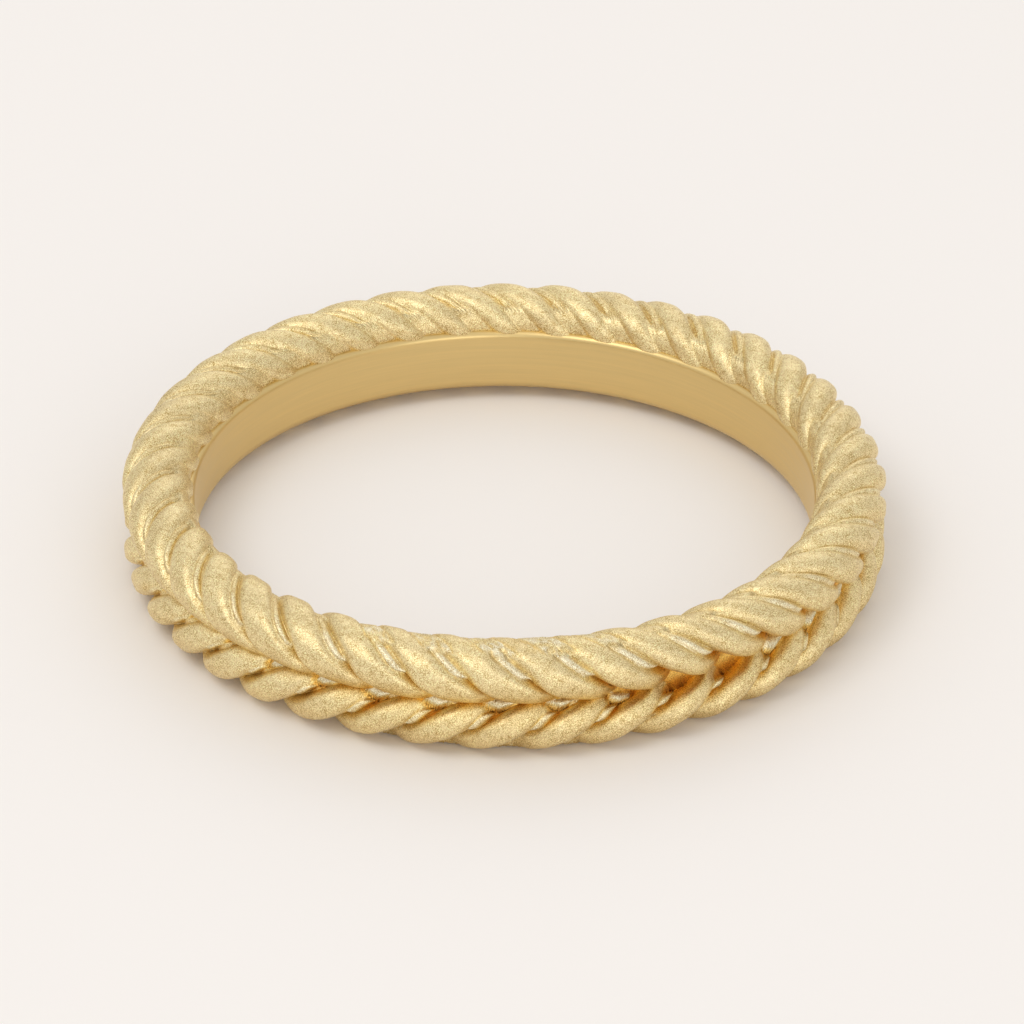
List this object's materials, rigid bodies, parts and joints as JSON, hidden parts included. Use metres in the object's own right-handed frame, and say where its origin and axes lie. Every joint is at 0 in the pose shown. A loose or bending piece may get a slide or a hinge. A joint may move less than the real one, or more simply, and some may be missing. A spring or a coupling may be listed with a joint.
{
  "type": "rope wedding band",
  "caption": "Gold finger ring of twisted ropes laid side by side in mirror image, so that their strands meet in a chevron, with thin strands in the grooves and a smooth wall inside.",
  "frame": {"origin": "on the finger's axis, at the height of the lowest strand crests, on which the ring lies", "axes": "+Z along the finger's axis, away from the surface that the ring lies on; -Y towards the side that is in front in the picture"},
  "size_m": [0.0214, 0.0214, 0.0032],
  "materials": {
    "gold": "satin"
  },
  "bodies": {
    "root": {"band": "gold"}
  },
  "joints": []
}
